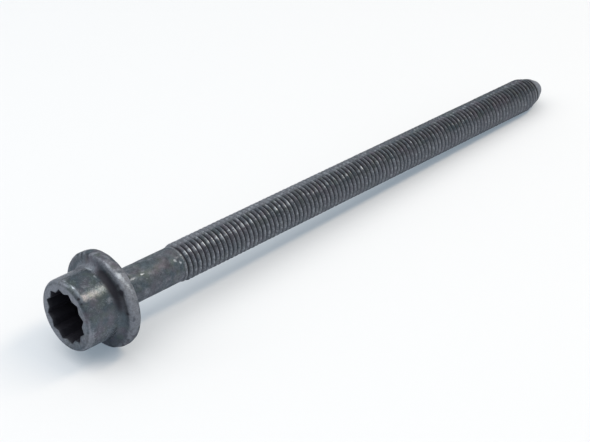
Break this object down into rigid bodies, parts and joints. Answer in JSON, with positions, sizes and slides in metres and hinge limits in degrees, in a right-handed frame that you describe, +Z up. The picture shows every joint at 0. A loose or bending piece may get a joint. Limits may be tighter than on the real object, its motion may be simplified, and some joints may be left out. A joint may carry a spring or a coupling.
{
  "type": "cylinder head bolt",
  "caption": "Long flanged bolt with an internal twelve-point drive and a long right-hand thread, for clamping a cylinder head to an engine block.",
  "frame": {"origin": "middle of the underside of the box, on the ground that the bolt lies on", "axes": "+X from the head towards the point, +Z up, +Y to the left seen from the head"},
  "size_m": [0.2146, 0.029, 0.029],
  "materials": {
    "phosphated_steel": "dark phosphate and oil over forged and rolled steel, worn bright on edges"
  },
  "bodies": {
    "root": {"head_bolt": "phosphated_steel"}
  },
  "joints": []
}
